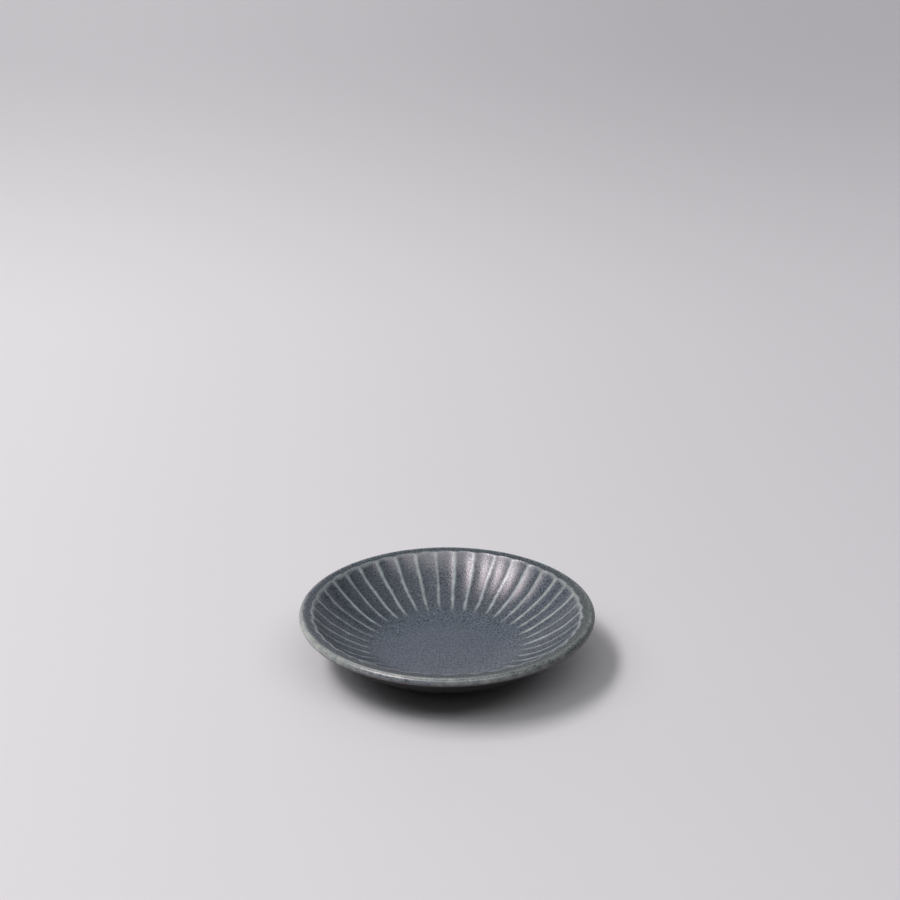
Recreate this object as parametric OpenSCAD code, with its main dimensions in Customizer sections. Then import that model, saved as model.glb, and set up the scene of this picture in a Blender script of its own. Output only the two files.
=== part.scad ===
// Fluted soy sauce dish: a stoneware body on a foot ring, under a coat of matt glaze.
// The origin is the middle of the tread of the foot, on the table, with +Z up.

/* [Dish] */
// Outside diameter across the rim
rim_d = 95; // [80:1:120]
// Height from the table to the crest of the rim
dish_h = 19; // [17:0.5:24]
// Thickness of the base under the flat middle, glaze included
base_t = 2.8; // [2.4:0.1:4]
// Diameter of the flat middle, where the curve of the wall begins inside and out
floor_d = 28; // [20:1:40]

/* [Rim] */
// Thickness of the rounded lip
lip_t = 2.6; // [2:0.1:3.4]
// Height by which the round of the lip stands proud of the band
lip_proud = 0.1; // [0.05:0.05:0.2]
// Width of the plain band, from the crest of the lip to the flutes
band_w = 3.3; // [2.5:0.1:5]
// Fall of the band, from the crest of the lip to its inner edge
band_fall = 0.5; // [0.3:0.1:1.2]

/* [Flutes] */
// Number of flutes cut round the wall
flute_count = 40; // [24:1:60]
// Depth of a flute where it meets the band
flute_depth = 0.5; // [0.4:0.05:1.2]
// Overlap of one flute with the next at the band, which makes their ridge
flute_overlap = 0.1; // [0.05:0.05:0.3]
// Diameter at which the flutes run out on the wall
flute_end_d = 42; // [40:1:56]

/* [Foot] */
// Outside diameter of the glazed foot ring
foot_d = 44.6; // [36:0.2:60]
// Width of the glazed foot ring
foot_w = 3.6; // [2.8:0.1:6]
// Depth of the foot well, from the table to the underside of the base
foot_h = 1.8; // [1.5:0.1:4]
// Bevel on the two bottom edges of the foot ring
foot_bevel = 0.5; // [0.2:0.1:0.8]

/* [Glaze] */
// Thickness of the glaze coat
glaze_t = 0.4; // [0.2:0.05:0.6]
// Height of the bare clay left at the bottom of the foot ring
bare_h = 0.8; // [0.6:0.1:1.2]
// Height of the lap of the inside coat, from the crest of the rim down the outside
lap_h = 4; // [3.5:0.5:8]

/* [Hidden] */
$fn = 180;

clay_colour = "#9b8a78";
glaze_colour = "#5a626e";

// Smallest step of a computed radius, so that a curve starts exactly on its flat
radius_step = 0.001;
// Room between a cutter and what it has to clear
clear = 1;

function on_step(r) = round(r / radius_step) * radius_step;

// Rim: the lip's round, its crest and the inner edge of the band
lip_r = lip_t / 2;
crest_r = rim_d / 2 - lip_r;
lip_z = dish_h - lip_r;
band_r = crest_r - band_w;
band_z = dish_h - band_fall;
band_top_z = dish_h - lip_proud;
band_slope = (band_top_z - band_z) / band_w;

// Inside curve: an arc that leaves the floor level and meets the inner edge of the band
floor_r = floor_d / 2;
floor_z = foot_h + base_t;
inner_run = band_r - floor_r;
inner_rise = band_z - floor_z;
inner_r = on_step((inner_run ^ 2 + inner_rise ^ 2) / (2 * inner_rise));
inner_cz = floor_z + inner_r;

// Outside curve: an arc that leaves the underside level and ends at the middle of the lip's round
outer_run = crest_r - floor_r;
outer_rise = lip_z - foot_h;
outer_r = on_step((outer_run ^ 2 + outer_rise ^ 2) / (2 * outer_rise));
outer_cz = foot_h + outer_r;

// Flutes: the arc along the bottom of a flute is the inside curve moved outwards and up,
// so that its depth grows from nothing at the run-out to flute_depth at the band
end_angle = asin((flute_end_d / 2 - floor_r) / inner_r);
band_angle = asin(inner_run / inner_r);
flute_out = flute_depth / (sin(band_angle) - tan(end_angle) * cos(band_angle));
flute_up = flute_out * tan(end_angle);
flute_half_w = PI * band_r / flute_count + flute_overlap;
gouge_r = (flute_half_w ^ 2 + flute_depth ^ 2) / (2 * flute_depth);
runout_angle = acos((inner_cz + flute_up - dish_h - clear) / inner_r);

// Foot: the glazed faces of the ring
foot_out_r = foot_d / 2;
foot_in_r = foot_out_r - foot_w;

// Glaze: the height at which the inside coat ends on the outside of the wall
lap_z = dish_h - lap_h;

// Height of the underside of the dish at a radius, with the surface taken in by inset
function underside_z(r, inset) =
    r <= floor_r ? foot_h + inset : outer_cz - sqrt((outer_r - inset) ^ 2 - (r - floor_r) ^ 2);

// Corner points that bound the curved wall: out along the bottom, up through the middle of the lip,
// then in along the band
function wall_zone(inset) = let(
    band_drop = inset * norm([1, band_slope]),
    inner_end = band_r - band_w
) [
    [floor_r, 0],
    [crest_r, 0],
    [crest_r, band_top_z - band_drop],
    [inner_end, band_top_z - band_drop - (crest_r - inner_end) * band_slope],
    [floor_r, inner_cz]
];

// Half section of the dish before fluting, with every surface taken in by inset
module dish_section(inset) {
    translate([0, foot_h + inset])
        square([floor_r, base_t - 2 * inset]);
    difference() {
        intersection() {
            translate([floor_r, outer_cz]) circle(outer_r - inset);
            polygon(wall_zone(inset));
        }
        translate([floor_r, inner_cz]) circle(inner_r + inset);
    }
    translate([crest_r, lip_z]) circle(lip_r - inset);
}

// Half section of all that lies above the underside of the dish
module above_underside(inset) {
    translate([0, foot_h + inset])
        square([floor_r, outer_r]);
    intersection() {
        translate([floor_r, outer_cz]) circle(outer_r - inset);
        translate([floor_r, 0]) square([rim_d, outer_cz]);
    }
}

// Section of one gouge stroke: the round edge of the gouge, with just the room it needs at the sides and above
module flute_section(inset) {
    intersection() {
        translate([inner_r - gouge_r, 0])
            circle(gouge_r + inset);
        translate([inner_r - flute_depth - clear, -flute_half_w - clear])
            square([flute_depth + inset + 2 * clear, 2 * (flute_half_w + clear)]);
    }
}

// One gouge stroke up the wall, as a bent bar that hangs over the rim
module flute(inset) {
    translate([floor_r + flute_out, 0, inner_cz + flute_up])
        rotate([90, 0, 0])
            rotate([0, 0, -90])
                rotate_extrude(angle = runout_angle)
                    flute_section(inset);
}

module flutes(inset) {
    for (i = [0 : flute_count - 1])
        rotate([0, 0, i * 360 / flute_count])
            flute(inset);
}

module clay_body() {
    color(clay_colour)
        difference() {
            rotate_extrude() dish_section(glaze_t);
            flutes(glaze_t);
        }
}

// Half section of the foot ring, from its bevelled tread up to the clay of the body
module foot_section() {
    in_r = foot_in_r + glaze_t;
    out_r = foot_out_r - glaze_t;
    top_z = underside_z(out_r, glaze_t) + glaze_t;
    difference() {
        polygon([
            [in_r, foot_bevel],
            [in_r + foot_bevel, 0],
            [out_r - foot_bevel, 0],
            [out_r, foot_bevel],
            [out_r, top_z],
            [in_r, top_z]
        ]);
        above_underside(glaze_t);
    }
}

module foot_ring() {
    color(clay_colour)
        rotate_extrude() foot_section();
}

// Half section of the inside coat, its lap over the rim and the clay behind them
module inside_coat_section() {
    intersection() {
        dish_section(0);
        union() {
            above_underside(base_t / 2);
            translate([0, lap_z]) square([rim_d, lap_h + clear]);
        }
    }
}

module inside_glaze() {
    color(glaze_colour)
        difference() {
            rotate_extrude() inside_coat_section();
            flutes(0);
            clay_body();
        }
}

// Half section of the coat under the dish and down one face of the foot ring
module under_coat_section(face_r) {
    difference() {
        union() {
            dish_section(0);
            translate([face_r, bare_h])
                square([glaze_t, underside_z(face_r + glaze_t, glaze_t) - bare_h]);
        }
        above_underside(glaze_t);
    }
}

module outside_glaze() {
    color(glaze_colour)
        rotate_extrude()
            difference() {
                under_coat_section(foot_out_r - glaze_t);
                square([foot_out_r - glaze_t, dish_h]);
                translate([0, lap_z]) square([rim_d, lap_h + clear]);
            }
}

module foot_well_glaze() {
    color(glaze_colour)
        rotate_extrude()
            intersection() {
                under_coat_section(foot_in_r);
                square([foot_in_r + glaze_t, dish_h]);
            }
}

clay_body();
foot_ring();
inside_glaze();
outside_glaze();
foot_well_glaze();
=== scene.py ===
"""Fluted soy sauce dish: thrown stoneware under a semi-matt slate glaze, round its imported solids."""

import math
import random
import bpy
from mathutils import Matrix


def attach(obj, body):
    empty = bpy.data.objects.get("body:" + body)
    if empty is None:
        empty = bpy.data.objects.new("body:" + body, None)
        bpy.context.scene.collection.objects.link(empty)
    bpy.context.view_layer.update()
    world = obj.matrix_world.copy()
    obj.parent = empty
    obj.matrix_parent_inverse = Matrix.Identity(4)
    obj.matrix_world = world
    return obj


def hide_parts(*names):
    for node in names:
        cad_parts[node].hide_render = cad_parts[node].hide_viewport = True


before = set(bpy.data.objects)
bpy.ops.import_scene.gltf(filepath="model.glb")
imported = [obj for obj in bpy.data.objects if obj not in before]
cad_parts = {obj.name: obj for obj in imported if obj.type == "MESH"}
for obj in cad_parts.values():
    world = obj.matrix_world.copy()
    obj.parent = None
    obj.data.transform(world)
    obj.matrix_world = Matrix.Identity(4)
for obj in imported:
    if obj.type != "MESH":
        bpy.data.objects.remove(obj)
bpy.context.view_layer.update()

# Sizes of the dish in millimetres, as its solids have them
MM = 0.001
RIM_R = 47.5
DISH_H = 19.0
BASE_T = 2.8
FLOOR_R = 14.0
LIP_R = 1.3
LIP_PROUD = 0.1
BAND_W = 3.3
BAND_FALL = 0.5
FLUTES = 40
FLUTE_DEPTH = 0.5
FLUTE_OVERLAP = 0.1
FLUTE_END_R = 21.0
FOOT_H = 1.8
GLAZE_T = 0.4
BARE_H = 0.8
LAP_H = 4.0

# Points that follow from those sizes
CREST_R = RIM_R - LIP_R
LIP_Z = DISH_H - LIP_R
BAND_R = CREST_R - BAND_W
BAND_Z = DISH_H - BAND_FALL
BAND_SLOPE = (BAND_FALL - LIP_PROUD) / BAND_W
FLOOR_Z = FOOT_H + BASE_T
LAP_Z = DISH_H - LAP_H
CLEAR_Z = DISH_H * 2

# Inside curve of the wall, level with the floor where it starts
WALL_RUN = BAND_R - FLOOR_R
WALL_RISE = BAND_Z - FLOOR_Z
WALL_R = (WALL_RUN ** 2 + WALL_RISE ** 2) / (2 * WALL_RISE)
WALL_CZ = FLOOR_Z + WALL_R

# Outside curve of the wall, level with the underside where it starts and ending in the middle of the lip
BACK_RUN = CREST_R - FLOOR_R
BACK_RISE = LIP_Z - FOOT_H
BACK_R = (BACK_RUN ** 2 + BACK_RISE ** 2) / (2 * BACK_RISE)
BACK_CZ = FOOT_H + BACK_R

# A gouge stroke: the inside curve moved outwards and up, so that it deepens towards the band
END_ANGLE = math.asin((FLUTE_END_R - FLOOR_R) / WALL_R)
BAND_ANGLE = math.asin(WALL_RUN / WALL_R)
STROKE_OUT = FLUTE_DEPTH / (math.sin(BAND_ANGLE) - math.tan(END_ANGLE) * math.cos(BAND_ANGLE))
STROKE_UP = STROKE_OUT * math.tan(END_ANGLE)
STROKE_HALF_W = math.pi * BAND_R / FLUTES + FLUTE_OVERLAP
GOUGE_R = (STROKE_HALF_W ** 2 + FLUTE_DEPTH ** 2) / (2 * FLUTE_DEPTH)

# Mesh fineness: points across one flute, and all the way round
ACROSS = 16
AROUND = FLUTES * ACROSS
PITCH = 2 * math.pi / FLUTES
# Points closer together than this, in millimetres, are one
SAME_POINT = 0.0001
# Faces that meet more sharply than this keep their corner
CORNER = math.radians(55)


def wall_height(r):
    """Height of the inside wall before fluting."""
    if r <= FLOOR_R:
        return FLOOR_Z
    return WALL_CZ - math.sqrt(WALL_R ** 2 - (r - FLOOR_R) ** 2)


def band_height(r):
    """Height of the plain band under the lip, or of its slope carried inwards."""
    return BAND_Z + (r - BAND_R) * BAND_SLOPE


def back_height(r):
    """Height of the outside wall."""
    if r <= FLOOR_R:
        return FOOT_H
    return BACK_CZ - math.sqrt(BACK_R ** 2 - (r - FLOOR_R) ** 2)


def back_radius(z):
    """Radius of the outside wall at a height."""
    return FLOOR_R + math.sqrt(BACK_R ** 2 - (BACK_CZ - z) ** 2)


def smooth(low, high, x):
    """0 below low, 1 above high, and an easy step between."""
    t = min(max((x - low) / (high - low), 0.0), 1.0)
    return t * t * (3 - 2 * t)


def hump(x):
    """1 at nought, easing to nothing beyond about 2 on both sides."""
    return math.exp(-x ** 2)


def patches(a, sides):
    """Sum of soft patches round the dish, each a strength, with its angle and spread in degrees."""
    total = 0.0
    for strength, middle, spread in sides:
        away = (math.degrees(a) - middle + 180) % 360 - 180
        total += strength * hump(away / spread)
    return total


def steps(start, stop, count):
    """Even steps from start to stop, both included."""
    return [start + (stop - start) * i / (count - 1) for i in range(count)]


# The hand of the potter: where each ridge falls and how each stroke bites, all from one seed.
# Shift and lean are in widths of a flute, wave is an angle, lift is in millimetres and the rest are shares.
hand = random.Random(11)
ridge_shift = [hand.uniform(-0.02, 0.02) for _ in range(FLUTES)]
ridge_lean = [hand.uniform(-0.05, 0.05) for _ in range(FLUTES)]
ridge_wave = [hand.uniform(0, 2 * math.pi) for _ in range(FLUTES)]
ridge_pale = [hand.uniform(0.7, 1.0) for _ in range(FLUTES)]
bite_scale = [hand.uniform(0.9, 1.1) for _ in range(FLUTES)]
lift = [hand.uniform(-0.06, 0.06) for _ in range(FLUTES)]
# Radius about which a stroke leans, and the run over which it takes its lean
LEAN_MID_R = 33.0
LEAN_SPAN = 10.0
# Sideways wander of a ridge in widths of a flute, the run for one radian of it, and where it sets in
WANDER = 0.025
WANDER_R = 2.2
WANDER_SETS_IN = (18.0, 26.0)
# Spacing by eye, in degrees: its mean lead over an even one, and a swing once and twice round the dish
LEAD = 1.75
LEAD_ONCE = 1.05
LEAD_TWICE = 1.1
LEAD_ONCE_AT = math.radians(194)
LEAD_TWICE_AT = math.radians(64)


def spacing_wave(a):
    """How far the spacing by eye has run ahead of an even one, which is most at the left and back."""
    once = LEAD_ONCE * math.cos(a - LEAD_ONCE_AT)
    twice = LEAD_TWICE * math.cos(2 * a + LEAD_TWICE_AT)
    return math.radians(LEAD + once + twice)


def ridge_angle(i, r):
    """Angle of ridge i at a radius: strokes are neither even nor quite straight."""
    k = i % FLUTES
    lean = ridge_lean[k] * (r - LEAN_MID_R) / LEAN_SPAN
    wander = WANDER * math.sin(r / WANDER_R + ridge_wave[k]) * smooth(*WANDER_SETS_IN, r)
    return (i + 0.5 + ridge_shift[k] + lean + wander) * PITCH + spacing_wave(i * PITCH)


def hand_angle(a, r):
    """Angle of a point once the ridges have moved to where the hand put them."""
    u = a / PITCH - 0.5
    i = math.floor(u)
    t = u - i
    return ridge_angle(i, r) * (1 - t) + ridge_angle(i + 1, r) * t


def stroke_height(i, r, a):
    """Height of the bottom of gouge stroke i, or a height well clear of the clay."""
    k = i % FLUTES
    middle = (ridge_angle(i, r) + ridge_angle(i + 1, r)) / 2
    half_w = (ridge_angle(i + 1, r) - ridge_angle(i, r)) / PITCH
    gouge = GOUGE_R * half_w
    side = r * math.sin(a - middle)
    along = r * math.cos(a - middle)
    reach = WALL_R - gouge + math.sqrt(max(gouge ** 2 - side ** 2, 0.0))
    run = along - FLOOR_R - STROKE_OUT * bite_scale[k]
    if reach <= abs(run):
        return CLEAR_Z
    return WALL_CZ + STROKE_UP * bite_scale[k] + lift[k] - math.sqrt(reach ** 2 - run ** 2)


# Softness of the glazed edges, as the height over which two surfaces melt together
MELT = 0.3
# Radii over which the flutes come in from the floor, and heights over the band between which they end
FLUTES_COME_IN = (21.5, 28.0)
FLUTES_END = (-0.3, 0.3)
# Half width of the pale line where the glaze draws off a ridge, and how much wider it gets at the band
RIDGE_LINE = 0.6
RIDGE_WIDENS = 1.2
# Strength of that line near the floor and near the band, each with its swing towards the palest side
PALEST_ANGLE = math.radians(50)
RIDGE_LOW = 0.82
RIDGE_LOW_SWING = 0.16
RIDGE_HIGH = 0.9
RIDGE_HIGH_SWING = 0.1
RIDGE_CHANGES = (26.0, 38.0)
# Pale arch at the end of a flute: its half widths on the band and in the flute, its strength, the depth
# below the band at which it is palest, and the sides where it is duller
ARCH_ON_BAND = 0.8
ARCH_IN_FLUTE = 0.75
ARCH_THIN = 0.72
ARCH_BELOW = 0.2
ARCH_DULL_SIDES = ((0.4, 80, 50), (0.1, 165, 25), (0.18, 260, 30))
# Shares of the darkest pooling that lies in the flutes and on the band, whose front is darker as painted
# shade
FLUTE_POOL = 0.82
BAND_POOL = 0.62
BAND_POOL_SETS_IN = (-0.1, 0.5)
BAND_PAINTED_SHADE_SIDES = ((1 - BAND_POOL, 270, 70),)
# Pools are shallower just under the band, over this depth. The side patches are painted light and shade: the
# flutes are lighter at the right back, standing in for the highlight's sheen, lighter at the back and at the
# left, and darker at the front
SHALLOW_TOP = 0.3
SHALLOW_DEPTH = 2.2
POOL_PAINTED_LIGHT_SIDES = ((0.68, 22, 40), (0.45, 102, 22), (0.32, 190, 35), (-0.15, 270, 45))


def cut_surface(r, a):
    """Height of the fluted inside, and from 0 to 1 how near an edge it is and how deep its glaze pools, with
    the pools lightened or darkened by side as painted light and shade.
    """
    i = math.floor(a / PITCH - 0.5)
    strokes = [stroke_height(i + j, r, a) for j in (-1, 0, 1)]
    over_band = min(strokes) - band_height(r)
    heights = sorted(strokes + [wall_height(r), band_height(r)])
    gap = heights[1] - heights[0]
    melt = max(MELT - gap, 0.0) / MELT
    z = heights[0] - melt * melt * MELT / 4
    fluted = smooth(*FLUTES_COME_IN, r) * (1 - smooth(*FLUTES_END, over_band))
    aside, nearest = min((abs(a - ridge_angle(i + j, r)) * r, i + j) for j in (-1, 0, 1, 2))
    palest = math.cos(a - PALEST_ANGLE)
    low = RIDGE_LOW + RIDGE_LOW_SWING * palest
    high = RIDGE_HIGH + RIDGE_HIGH_SWING * palest
    strength = ridge_pale[nearest % FLUTES] * (low + (high - low) * smooth(*RIDGE_CHANGES, r))
    ridge_line = RIDGE_LINE * (1 + RIDGE_WIDENS * math.exp(min(over_band, 0.0)))
    ridge = hump(aside / ridge_line) * fluted * strength
    from_arch = over_band + ARCH_BELOW
    arch_line = ARCH_ON_BAND if from_arch > 0 else ARCH_IN_FLUTE
    arch = hump(from_arch / arch_line) * (ARCH_THIN - patches(a, ARCH_DULL_SIDES))
    # The band's front is darkened and the flutes on several sides lightened or darkened, as painted shade
    # and light
    band_pool_and_shade = smooth(*BAND_POOL_SETS_IN, over_band) * (BAND_POOL + patches(a, BAND_PAINTED_SHADE_SIDES))
    shallow_and_painted_light = SHALLOW_TOP * hump(over_band / SHALLOW_DEPTH) + patches(a, POOL_PAINTED_LIGHT_SIDES)
    in_flute = fluted * FLUTE_POOL * (1 - shallow_and_painted_light)
    return z, max(ridge, arch), max(in_flute, band_pool_and_shade)


# Radius at which the band gives way to the round of the lip, and room for rounding when it is tested
INSIDE_END_R = 45.3
ROUNDING = 0.01
# The fluting sits a little off the middle of the rim, to the left and back, and is a touch narrower
# sideways. The move sets in between two radii of the wall and is gone at the lip.
OFF_CENTRE_X = -0.1
OFF_CENTRE_Y = 0.95
NARROWER = 0.003
SWAY_SETS_IN = (16.0, 40.0)
SWAY_ENDS = (43.4, INSIDE_END_R)


def sway(r):
    """Share of the off-centre move that a point of the inside takes."""
    return smooth(*SWAY_SETS_IN, r) * (1 - smooth(*SWAY_ENDS, r))


# Unevenness of the rim in millimetres: a slow wave and a quick ripple, which grow from a radius outwards
RIM_LOW = 0.01
RIM_WAVE = 0.012
RIM_RIPPLE = 0.008
DROP_TURN = 0.3
DRAW_TURN = 2.0
UNEVEN_FROM_R = 30.0


def rim_drop(a):
    """Unevenness of the rim's height, always down from its highest point."""
    return RIM_LOW + RIM_WAVE * (1 + math.cos(2 * a + DROP_TURN)) + RIM_RIPPLE * (1 - math.sin(5 * a))


def rim_draw(a):
    """Unevenness of the rim's radius, always in from its widest point."""
    return RIM_WAVE * (1 - math.cos(4 * a)) + RIM_RIPPLE * (1 + math.cos(7 * a + DRAW_TURN))


def pick(piece):
    """Select one piece alone."""
    bpy.ops.object.select_all(action="DESELECT")
    piece.select_set(True)
    bpy.context.view_layer.objects.active = piece


def ease(piece):
    """Smooth shading, broken only at real corners."""
    pick(piece)
    bpy.ops.object.shade_smooth_by_angle(angle=CORNER)


def edit(piece):
    """Open a piece for modelling with all of it selected."""
    pick(piece)
    bpy.ops.object.mode_set(mode="EDIT")
    bpy.ops.mesh.select_all(action="SELECT")


def throw(name, stations, start_closed, end_closed=False):
    """Raise a sheet ring by ring, as clay is drawn up on the wheel."""
    bpy.ops.object.select_all(action="DESELECT")
    start_r, start_z = stations[0]
    bpy.ops.mesh.primitive_circle_add(
        vertices=AROUND,
        radius=start_r * MM,
        location=(0, 0, start_z * MM),
        fill_type="TRIFAN" if start_closed else "NOTHING",
    )
    piece = bpy.context.object
    piece.name = name
    piece.data.name = name
    bpy.ops.object.transform_apply(location=True, rotation=True, scale=True)
    edit(piece)
    if start_closed:
        bpy.ops.mesh.region_to_loop()
    for (r0, z0), (r1, z1) in zip(stations, stations[1:]):
        bpy.ops.mesh.extrude_region_move(TRANSFORM_OT_translate={"value": (0, 0, (z1 - z0) * MM)})
        bpy.ops.transform.resize(value=(r1 / r0, r1 / r0, 1), center_override=(0, 0, 0))
    if end_closed:
        bpy.ops.mesh.extrude_region_move(TRANSFORM_OT_translate={"value": (0, 0, 0)})
        bpy.ops.mesh.merge(type="CENTER")
    bpy.ops.mesh.select_all(action="SELECT")
    bpy.ops.mesh.remove_doubles(threshold=SAME_POINT * MM)
    bpy.ops.mesh.normals_make_consistent(inside=False)
    bpy.ops.object.mode_set(mode="OBJECT")
    return piece


def look_up(piece, upward):
    """Turn the faces of an open sheet over unless its first face looks up or down as asked."""
    if (piece.data.polygons[0].normal.z > 0) != upward:
        edit(piece)
        bpy.ops.mesh.flip_normals()
        bpy.ops.object.mode_set(mode="OBJECT")


# Thin glaze on the lip. Places round its section are in degrees, counted up from its outermost point: a
# pale line near the crest, made stronger at the front left by a painted highlight, and a face on the outside
# where the glaze drained
CREST_THIN = 0.3
CREST_PAINTED_HIGHLIGHT_SIDES = ((0.68, 247, 34),)
CREST_AT = 85
CREST_SPREAD = 24
DRAINED_SIDES = ((0.85, 203, 30), (0.34, 280, 45))
FACE_STARTS = (-45, 15)
FACE_ENDS = (70, 112)
# Height round the section up to which the lip takes the outside's colour as painted shade: its mean, its
# swing towards the darkest side, and how far below and above it the change runs
DARK_TO = 34
DARK_SWING = 26
DARKEST_ANGLE = math.radians(45)
DARK_BELOW = 60
DARK_ABOVE = 20
# Olive tinge of the lip: its share all round, and the rest of it at the right and front
OLIVE_ALL_ROUND = 0.15
OLIVE_SIDES = ((1 - OLIVE_ALL_ROUND, 335, 60),)
# Thin glaze at the edge of the bare foot, and the height at which it is full again
FOOT_THIN = 0.6
FOOT_EDGE_Z = 1.3


def lip_thin_and_highlight(a, degrees):
    """How pale the lip is: a line along its crest where the glaze is thinner, strengthened at the front left
    by a painted highlight, and a broad pale face where it drained.
    """
    crest = (CREST_THIN + patches(a, CREST_PAINTED_HIGHLIGHT_SIDES)) * hump((degrees - CREST_AT) / CREST_SPREAD)
    face = patches(a, DRAINED_SIDES) * smooth(*FACE_STARTS, degrees) * (1 - smooth(*FACE_ENDS, degrees))
    return max(crest, face)


def lip_dark(a, degrees):
    """How much of the outside's painted shade a point of the lip has."""
    dark_to = DARK_TO + DARK_SWING * math.cos(a - DARKEST_ANGLE)
    return 1 - smooth(dark_to - DARK_BELOW, dark_to + DARK_ABOVE, degrees)


def shape_by_hand(piece):
    """Cut the flutes into a thrown sheet and give it the unevenness of hand work.

    Four values go with each point, from 0 to 1: one for where the glaze runs thinner off an edge, and on the
    crest at the front left for a painted highlight; one for where it gathers in a flute or on the band,
    lightened or darkened by side as painted light and shade; back, on the outside and under the lip, where
    the colour is painted shade; and olive, where the lip has that tinge."""
    mesh = piece.data
    facing = [v.normal.z for v in mesh.vertices]
    before = [v.co / MM for v in mesh.vertices]
    places = []
    thin_and_highlight = []
    pool_and_painted_light = []
    back = []
    olive = []
    for (x, y, z), up in zip(before, facing):
        r = math.hypot(x, y)
        a = hand_angle(math.atan2(y, x), r)
        offset = 0.0
        depth = 0.0
        behind = 0.0
        green = OLIVE_ALL_ROUND + patches(a, OLIVE_SIDES)
        if up > 0 and r < INSIDE_END_R + ROUNDING:
            z, edge, depth = cut_surface(r, a)
            offset = sway(r)
            green *= smooth(BAND_R, INSIDE_END_R, r)
        elif z > LAP_Z:
            round_the_lip = math.degrees(math.atan2(z - LIP_Z, r - CREST_R))
            edge = lip_thin_and_highlight(a, round_the_lip)
            # The lower part of the lip takes the outside's colour, painted shade
            behind = lip_dark(a, round_the_lip)
        else:
            edge = FOOT_THIN * (1 - smooth(BARE_H, FOOT_EDGE_Z, z))
            behind = 1.0
            green = 0.0
        share = smooth(UNEVEN_FROM_R, CREST_R, r)
        r -= rim_draw(a) * share
        z -= rim_drop(a) * share
        x = r * math.cos(a) * (1 - NARROWER * offset) + OFF_CENTRE_X * offset
        y = r * math.sin(a) + OFF_CENTRE_Y * offset
        places += [x * MM, y * MM, z * MM]
        thin_and_highlight.append(edge)
        pool_and_painted_light.append(depth)
        back.append(behind)
        olive.append(green)
    mesh.vertices.foreach_set("co", places)
    for name, values in (("thin_and_highlight", thin_and_highlight), ("pool_and_painted_light", pool_and_painted_light), ("back", back), ("olive", olive)):
        mesh.attributes.new(name, "FLOAT", "POINT").data.foreach_set("value", values)
    mesh.update()


def thicken(piece):
    """Give a sheet of glaze its thickness, towards the clay."""
    pick(piece)
    coat = piece.modifiers.new("coat", "SOLIDIFY")
    coat.thickness = GLAZE_T * MM
    coat.offset = -1
    coat.use_quality_normals = True
    bpy.ops.object.modifier_apply(modifier=coat.name)


def glaze_coat(name, stations, start_closed, upward):
    """One coat of glaze: a thrown sheet, turned the right way, shaped by hand and given its thickness."""
    coat = throw(name, stations, start_closed)
    look_up(coat, upward)
    shape_by_hand(coat)
    thicken(coat)
    ease(coat)
    return coat


def lip_point(degrees):
    """A point of the rounded lip, counted up from its outermost point."""
    a = math.radians(degrees)
    return CREST_R + LIP_R * math.cos(a), LIP_Z + LIP_R * math.sin(a)


def under_lip(z):
    """A point of the outside wall at a height."""
    return back_radius(z), z


def bend(start, corner, end, t):
    """A point on the round that runs from start to end inside a corner."""
    return tuple(
        s * (1 - t) ** 2 + c * 2 * t * (1 - t) + e * t ** 2
        for s, c, e in zip(start, corner, end)
    )


# Stations of the inside, the lip and its lap, as radius and height. The middle starts from a small fan.
POLE_R = 0.8
WALL_END_R = 41.6
BAND_START_R = 42.0
LIP_START = 116
LIP_END = -95
NECK_Z = 15.6
LAP_START_Z = 15.4
floor_stations = [(r, FLOOR_Z) for r in (POLE_R, 4, 8, 12)]
wall_stations = [(r, wall_height(r)) for r in steps(FLOOR_R, WALL_END_R, 26)]
band_stations = [(r, min(wall_height(r), band_height(r))) for r in steps(BAND_START_R, INSIDE_END_R, 16)]
lip_stations = [lip_point(d) for d in steps(LIP_START, LIP_END, 18)]
neck_corner = under_lip(LIP_Z - LIP_R)
neck_stations = [bend(lip_point(LIP_END), neck_corner, under_lip(NECK_Z), t) for t in steps(0.2, 1, 5)]
lap_stations = neck_stations + [under_lip(z) for z in steps(LAP_START_Z, LAP_Z, 3)]
inside_stations = floor_stations + wall_stations + band_stations + lip_stations + lap_stations

# Stations of the outside, down to where the glaze ends in a round on the foot
BACK_END_R = 23.6
back_stations = [(r, back_height(r)) for r in steps(back_radius(LAP_Z), BACK_END_R, 22)]
foot_face_stations = [
    (23.05, 2.78), (22.7, 2.61), (22.46, 2.34), (22.34, 1.98), (22.3, 1.6),
    (22.3, 1.3), (22.29, 1.08), (22.24, 0.92), (22.13, 0.83), (22.0, 0.8),
]

# Stations of the foot well, with low throwing rings on its floor: their height in millimetres, and how far
# their wave turns for each millimetre outwards, in radians
THROWN_RING = 0.035
THROWN_TURN = 2.9
WELL_END_R = 17.9
well_floor_stations = [
    (r, FOOT_H + THROWN_RING * math.sin(r * THROWN_TURN)) for r in steps(POLE_R, WELL_END_R, 32)
]
well_face_stations = [
    (18.3, 1.77), (18.55, 1.64), (18.67, 1.43), (18.7, 1.2),
    (18.71, 1.02), (18.76, 0.9), (18.87, 0.82), (19.0, 0.8),
]

# Stations round the section of the foot ring, and of the clay's underside inside it
tread_stations = [
    (19.1, 2.2), (19.1, 1.5), (19.1, 0.85), (19.13, 0.5), (19.25, 0.24), (19.45, 0.08), (19.75, 0.0),
    (20.5, 0.0), (21.25, 0.0), (21.55, 0.08), (21.75, 0.24), (21.87, 0.5), (21.9, 0.85), (21.9, 1.7),
    (21.9, 2.6), (20.5, 2.35), (19.1, 2.2),
]
BASE_START_R = 22.5
base_stations = [(r, back_height(r)) for r in steps(BASE_START_R, POLE_R, 10)]

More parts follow.
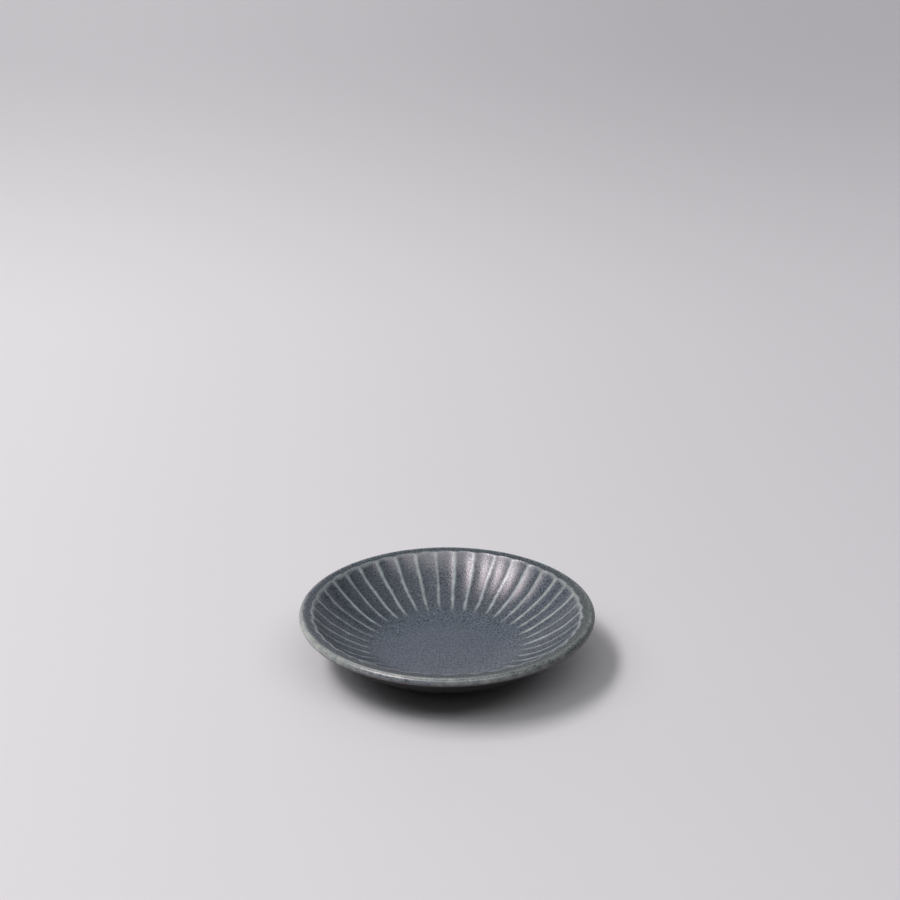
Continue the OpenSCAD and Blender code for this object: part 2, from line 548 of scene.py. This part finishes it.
inside_coat = glaze_coat("inside_glaze_coat", inside_stations, True, True)
outside_coat = glaze_coat("outside_glaze_coat", back_stations + foot_face_stations, False, False)
well_coat = glaze_coat("foot_well_glaze_coat", well_floor_stations + well_face_stations, True, False)

clay = throw("fired_clay_body", inside_stations + back_stations[1:] + base_stations, True, True)
shape_by_hand(clay)
edit(clay)
bpy.ops.transform.shrink_fatten(value=-GLAZE_T * MM)
bpy.ops.object.mode_set(mode="OBJECT")
ease(clay)

foot = throw("foot_ring_clay", tread_stations, False)
ease(foot)


def linear(code):
    """An sRGB hex colour as linear red, green, blue and alpha."""
    parts = [int(code[i:i + 2], 16) / 255 for i in (1, 3, 5)]
    return tuple(c / 12.92 if c <= 0.04045 else ((c + 0.055) / 1.055) ** 2.4 for c in parts) + (1.0,)


def add(tree, kind, values=None, links=None, **settings):
    """Add a node with its settings, its fixed values and its links."""
    node = tree.nodes.new(kind)
    for name, value in settings.items():
        setattr(node, name, value)
    for socket, value in (values or {}).items():
        node.inputs[socket].default_value = value
    for socket, source in (links or {}).items():
        tree.links.new(source, node.inputs[socket])
    return node


def new_material(name):
    """An empty node material and its shader."""
    material = bpy.data.materials.new(name)
    material.use_nodes = True
    tree = material.node_tree
    tree.nodes.clear()
    shader = add(tree, "ShaderNodeBsdfPrincipled")
    add(tree, "ShaderNodeOutputMaterial", links={"Surface": shader.outputs["BSDF"]})
    return material, tree, shader


def per_metre(size_mm):
    """Pattern scale for a feature of a size in millimetres."""
    return 1 / (size_mm * MM)


# Sizes of the glaze's patterns in millimetres. The real grain is finer, about 0.2 mm, and is drawn coarser
# so that it shows.
DRIFT_SIZE = 24
MOTTLE_SIZE = 2.6
GRAIN_SIZE = 0.52
# Heights of the glaze's skin and grit in millimetres
SKIN_H = 0.04
GRIT_H = 0.07
# The outside of the dish, drier than the inside and painted near black as shade under the rim, and the iron
# tinge of the lip
OUTSIDE_SHADE_COLOUR = "#171816"
BACK_ROUGHNESS = 0.5
BACK_EDGE = "#7d8486"
OLIVE_COLOUR = "#505a57"
# A faint rose tint in what the glaze reflects
SHEEN_TINT = "#fff4fc"


def slate_glaze(name, body, drifted, pooled, toasted, pale_lip, pale_ridge, smoothest, roughest, specular):
    """Semi-matt slate glaze on stoneware, reduction fired.

    It drifts slowly in colour, pools dark in the flutes, breaks to a pale grey on every edge, turns olive on
    part of the lip, and is finely grained all over, so highlights sparkle. It also carries painted light:
    the pools are lightened or darkened by side, the crest has a painted highlight at the front left, and
    under the lip the colour turns to the outside's, which is painted shade."""
    material, tree, shader = new_material(name)
    place = add(tree, "ShaderNodeTexCoord").outputs["Object"]
    thin_and_highlight = add(tree, "ShaderNodeAttribute", attribute_name="thin_and_highlight").outputs["Fac"]
    pool_and_painted_light = add(tree, "ShaderNodeAttribute", attribute_name="pool_and_painted_light").outputs["Fac"]
    back = add(tree, "ShaderNodeAttribute", attribute_name="back").outputs["Fac"]
    olive = add(tree, "ShaderNodeAttribute", attribute_name="olive").outputs["Fac"]
    drift = add(tree, "ShaderNodeTexNoise", {"Scale": per_metre(DRIFT_SIZE), "Detail": 2},
                {"Vector": place}).outputs["Fac"]
    mottle = add(tree, "ShaderNodeTexNoise", {"Scale": per_metre(MOTTLE_SIZE), "Detail": 5},
                 {"Vector": place}).outputs["Fac"]
    grain = add(tree, "ShaderNodeTexNoise", {"Scale": per_metre(GRAIN_SIZE), "Detail": 3},
                {"Vector": place}).outputs["Fac"]
    plain = add(tree, "ShaderNodeMix", {6: linear(body), 7: linear(drifted)}, {0: drift},
                data_type="RGBA").outputs[2]
    pools = add(tree, "ShaderNodeMix", {6: linear(pooled), 7: linear(toasted)}, {0: drift},
                data_type="RGBA").outputs[2]
    deep = add(tree, "ShaderNodeMix", {}, {0: pool_and_painted_light, 6: plain, 7: pools}, data_type="RGBA").outputs[2]
    iron = add(tree, "ShaderNodeMix", {7: linear(OLIVE_COLOUR)}, {0: olive, 6: deep},
               data_type="RGBA").outputs[2]
    # Under the lip and on the outside the colour turns to the outside's, which is painted shade
    under_lip_shaded = add(tree, "ShaderNodeMix", {7: linear(OUTSIDE_SHADE_COLOUR)}, {0: back, 6: iron},
                 data_type="RGBA").outputs[2]
    speck = add(tree, "ShaderNodeMapRange", {"From Min": 0.25, "From Max": 0.75},
                {"Value": grain}).outputs["Result"]
    grained = add(tree, "ShaderNodeMix", {0: 0.9}, {6: under_lip_shaded, 7: speck}, data_type="RGBA",
                  blend_type="OVERLAY").outputs[2]
    uneven = add(tree, "ShaderNodeMath", {1: 0.9, 2: -0.45}, {0: mottle},
                 operation="MULTIPLY_ADD").outputs[0]
    worn = add(tree, "ShaderNodeMath", {}, {0: thin_and_highlight, 1: uneven}, operation="ADD").outputs[0]
    bare = add(tree, "ShaderNodeMapRange", {"From Min": 0.15, "From Max": 0.95},
               {"Value": worn}).outputs["Result"]
    edge = add(tree, "ShaderNodeMix", {6: linear(pale_lip), 7: linear(pale_ridge)}, {0: pool_and_painted_light},
               data_type="RGBA").outputs[2]
    finish = add(tree, "ShaderNodeMix", {}, {0: bare, 6: grained, 7: edge}, data_type="RGBA").outputs[2]
    tree.links.new(finish, shader.inputs["Base Color"])
    shader.inputs["Roughness"].default_value = roughest
    if smoothest < roughest:
        rough = add(tree, "ShaderNodeMapRange",
                    {"From Min": 0.3, "From Max": 0.7, "To Min": smoothest, "To Max": roughest},
                    {"Value": grain}).outputs["Result"]
        drier = add(tree, "ShaderNodeMix", {3: BACK_ROUGHNESS}, {0: back, 2: rough}).outputs[0]
        tree.links.new(drier, shader.inputs["Roughness"])
    shader.inputs["Specular IOR Level"].default_value = specular
    shader.inputs["Specular Tint"].default_value = linear(SHEEN_TINT)
    skin = add(tree, "ShaderNodeBump", {"Strength": 0.5, "Distance": SKIN_H * MM}, {"Height": mottle})
    grit = add(tree, "ShaderNodeBump", {"Strength": 0.8, "Distance": GRIT_H * MM},
               {"Height": grain, "Normal": skin.outputs["Normal"]})
    tree.links.new(grit.outputs["Normal"], shader.inputs["Normal"])
    return material


glaze = slate_glaze(
    "slate_matt_glaze",
    body="#505a68",
    drifted="#5c646c",
    pooled="#353d4a",
    toasted="#3d4447",
    pale_lip="#abb1ac",
    pale_ridge="#a0aeb8",
    smoothest=0.2,
    roughest=0.38,
    specular=1.0,
)
back_glaze = slate_glaze(
    "slate_matt_glaze_outside",
    body=OUTSIDE_SHADE_COLOUR,
    drifted=OUTSIDE_SHADE_COLOUR,
    pooled=OUTSIDE_SHADE_COLOUR,
    toasted=OUTSIDE_SHADE_COLOUR,
    pale_lip=BACK_EDGE,
    pale_ridge=BACK_EDGE,
    smoothest=BACK_ROUGHNESS,
    roughest=BACK_ROUGHNESS,
    specular=0.15,
)

# Bare buff stoneware on the foot, wiped clean of glaze before firing: dry, gritty and flecked with iron
CLOUD_SIZE = 6
SAND_SIZE = 0.45
SAND_H = 0.08
stoneware, tree, shader = new_material("bare_buff_stoneware")
place = add(tree, "ShaderNodeTexCoord").outputs["Object"]
cloud = add(tree, "ShaderNodeTexNoise", {"Scale": per_metre(CLOUD_SIZE), "Detail": 4},
            {"Vector": place}).outputs["Fac"]
sand = add(tree, "ShaderNodeTexNoise", {"Scale": per_metre(SAND_SIZE), "Detail": 4},
           {"Vector": place}).outputs["Fac"]
buff = add(tree, "ShaderNodeMix", {6: linear("#a48c70"), 7: linear("#8b7158")}, {0: cloud},
           data_type="RGBA").outputs[2]
fleck = add(tree, "ShaderNodeMapRange", {"From Min": 0.62, "From Max": 0.7, "To Min": 0, "To Max": 0.8},
            {"Value": sand}).outputs["Result"]
flecked = add(tree, "ShaderNodeMix", {7: linear("#4a382b")}, {0: fleck, 6: buff},
              data_type="RGBA").outputs[2]
tree.links.new(flecked, shader.inputs["Base Color"])
shader.inputs["Roughness"].default_value = 0.88
sandy = add(tree, "ShaderNodeBump", {"Strength": 0.7, "Distance": SAND_H * MM}, {"Height": sand})
tree.links.new(sandy.outputs["Normal"], shader.inputs["Normal"])

for piece, material, node, slot in (
    (inside_coat, glaze, "inside_glaze", "inside_glaze"),
    (outside_coat, back_glaze, "outside_glaze", "outside_glaze"),
    (well_coat, back_glaze, "foot_well_glaze", "foot_well_glaze"),
    (clay, stoneware, "clay_body", "stoneware"),
    (foot, stoneware, "foot_ring", "bare_foot"),
):
    piece.data.materials.append(material)
    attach(piece, "root")
    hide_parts(node)

# Pale matt paper on the table, swept gently up behind the dish. Its colour darkens smoothly to the right
# and towards the back, as painted shade for the light falling off across the table. Its sizes are in metres.
SWEEP_START = 0.1
SWEEP_R = 3.0
TABLE_SIZE = 8
DARKENS_ACROSS = 0.3
DARKENS_FROM = 0.3
DARKENS_TO = 0.85
paper, tree, shader = new_material("matt_paper_painted_falloff")
place = add(tree, "ShaderNodeTexCoord").outputs["Object"]
axes = add(tree, "ShaderNodeSeparateXYZ", {}, {0: place}).outputs
across = add(tree, "ShaderNodeMapRange", {"From Min": -DARKENS_ACROSS, "From Max": DARKENS_ACROSS},
             {"Value": axes["X"]}, interpolation_type="SMOOTHSTEP").outputs["Result"]
behind = add(tree, "ShaderNodeMapRange", {"From Min": DARKENS_FROM, "From Max": DARKENS_TO},
             {"Value": axes["Y"]}, interpolation_type="SMOOTHSTEP").outputs["Result"]
close_by = add(tree, "ShaderNodeMix", {6: linear("#e7e6ea"), 7: linear("#cecdd2")}, {0: across},
               data_type="RGBA").outputs[2]
far_off = add(tree, "ShaderNodeMix", {6: linear("#c9c8cd"), 7: linear("#b8b7bc")}, {0: across},
              data_type="RGBA").outputs[2]
sweep = add(tree, "ShaderNodeMix", {}, {0: behind, 6: close_by, 7: far_off}, data_type="RGBA").outputs[2]
tree.links.new(sweep, shader.inputs["Base Color"])
shader.inputs["Roughness"].default_value = 0.9
shader.inputs["Specular IOR Level"].default_value = 0.2
bpy.ops.object.select_all(action="DESELECT")
bpy.ops.mesh.primitive_grid_add(x_subdivisions=4, y_subdivisions=160, size=TABLE_SIZE, location=(0, 0, 0))
table = bpy.context.object
table.name = "table"
for v in table.data.vertices:
    v.co.z = max(v.co.y - SWEEP_START, 0) ** 2 / (2 * SWEEP_R)
table.data.materials.append(paper)
bpy.ops.object.shade_smooth()

# Camera at the photograph's angle, with its lens and sensor in millimetres and its place in metres
CAMERA_PITCH = 21.314
camera_data = bpy.data.cameras.new("photo_camera")
camera_data.lens = 65
camera_data.sensor_width = 36
camera_data.clip_end = 100
camera = bpy.data.objects.new("photo_camera", camera_data)
camera.location = (0.00095, -0.4688, 0.2564)
camera.rotation_euler = (math.radians(90 - CAMERA_PITCH), 0, 0)
bpy.context.scene.collection.objects.link(camera)
bpy.context.scene.camera = camera

# Soft studio light: panels hung level at one height in metres, and a dim room
LIGHT_H = 6.0


def panel(name, lean_x, lean_y, length, width, watts, colour):
    """A soft panel hung level over the table, sized and placed in shares of its height."""
    data = bpy.data.lights.new(name, "AREA")
    data.shape = "RECTANGLE"
    data.size = length * LIGHT_H
    data.size_y = width * LIGHT_H
    data.energy = watts
    data.color = linear(colour)[:3]
    light = bpy.data.objects.new(name, data)
    light.location = (lean_x * LIGHT_H, lean_y * LIGHT_H, LIGHT_H)
    bpy.context.scene.collection.objects.link(light)


panel("left_strip", -0.53, -0.29, 0.22, 0.44, 198, "#fffdfc")
panel("left_softbox", -0.84, -0.25, 0.5, 0.7, 105, "#fffdfc")
panel("window", -1.25, -0.1, 0.5, 0.8, 40, "#fffdfc")
panel("front_softbox", 0.12, -0.62, 1.66, 0.42, 204, "#fffefc")
panel("lamp", -0.48, 0.09, 0.26, 0.28, 84, "#fff6f6")
panel("ceiling", 0, -0.4, 3, 2.4, 185, "#fbfdfe")
world = bpy.data.worlds.new("studio")
world.use_nodes = True
room = world.node_tree.nodes["Background"]
room.inputs["Color"].default_value = linear("#dddde2")
room.inputs["Strength"].default_value = 0.035
bpy.context.scene.world = world
bpy.context.scene.view_settings.view_transform = "Standard"
